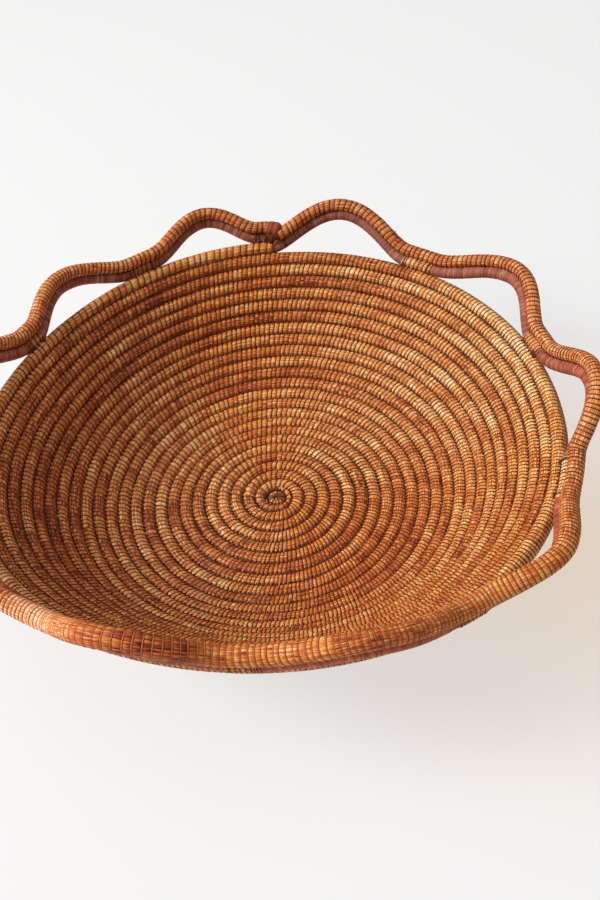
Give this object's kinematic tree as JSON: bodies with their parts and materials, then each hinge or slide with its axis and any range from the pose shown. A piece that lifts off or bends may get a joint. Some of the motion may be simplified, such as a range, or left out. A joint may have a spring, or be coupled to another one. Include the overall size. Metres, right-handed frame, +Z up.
{
  "type": "scalloped coiled basket bowl",
  "caption": "Round coiled-grass bowl with thin dark sewing and an open scalloped rim of thread-wrapped loops; holds fruit, bread or small things.",
  "frame": {"origin": "middle of the base's flat foot, on the floor", "axes": "+Z up; +Y to the back, where every turn of the coil starts; turns and scallops run clockwise seen from above; -Y faces the viewer"},
  "size_m": [0.4319, 0.414, 0.1361],
  "materials": {
    "grass_coil": "dry grass bundles, matt, sewn with thin dark thread",
    "wrap_thread": "waxed thread wound tight, slightly glossy"
  },
  "bodies": {
    "root": {"base_button": "grass_coil", "base_round_01": "grass_coil", "base_round_02": "grass_coil", "base_round_03": "grass_coil", "base_round_04": "grass_coil", "base_round_05": "grass_coil", "base_round_06": "grass_coil", "base_round_07": "grass_coil", "heel_round_01": "grass_coil", "heel_round_02": "grass_coil", "heel_round_03": "grass_coil", "heel_round_04": "grass_coil", "heel_round_05": "grass_coil", "heel_round_06": "grass_coil", "heel_round_07": "grass_coil", "heel_round_08": "grass_coil", "heel_round_09": "grass_coil", "heel_round_10": "grass_coil", "wall_round_01": "grass_coil", "wall_round_02": "grass_coil", "wall_round_03": "grass_coil", "wall_round_04": "grass_coil", "wall_round_05": "grass_coil", "wall_round_06": "grass_coil", "wall_round_07": "grass_coil", "scallop_loop_01": "wrap_thread", "scallop_loop_02": "wrap_thread", "scallop_loop_03": "wrap_thread", "scallop_loop_04": "wrap_thread", "scallop_loop_05": "wrap_thread", "scallop_loop_06": "wrap_thread", "scallop_loop_07": "wrap_thread", "scallop_loop_08": "wrap_thread", "scallop_loop_09": "wrap_thread", "scallop_loop_10": "wrap_thread", "scallop_seat_01": "grass_coil", "scallop_seat_02": "grass_coil", "scallop_seat_03": "grass_coil", "scallop_seat_04": "grass_coil", "scallop_seat_05": "grass_coil", "scallop_seat_06": "grass_coil", "scallop_seat_07": "grass_coil", "scallop_seat_08": "grass_coil", "scallop_seat_09": "grass_coil", "scallop_seat_10": "grass_coil", "scallop_outer_01": "grass_coil", "scallop_outer_02": "grass_coil", "scallop_outer_03": "grass_coil", "scallop_outer_04": "grass_coil", "scallop_outer_05": "grass_coil", "scallop_outer_06": "grass_coil", "scallop_outer_07": "grass_coil", "scallop_outer_08": "grass_coil", "scallop_outer_09": "grass_coil", "scallop_outer_10": "grass_coil", "tie_off_knot": "wrap_thread"}
  },
  "joints": []
}
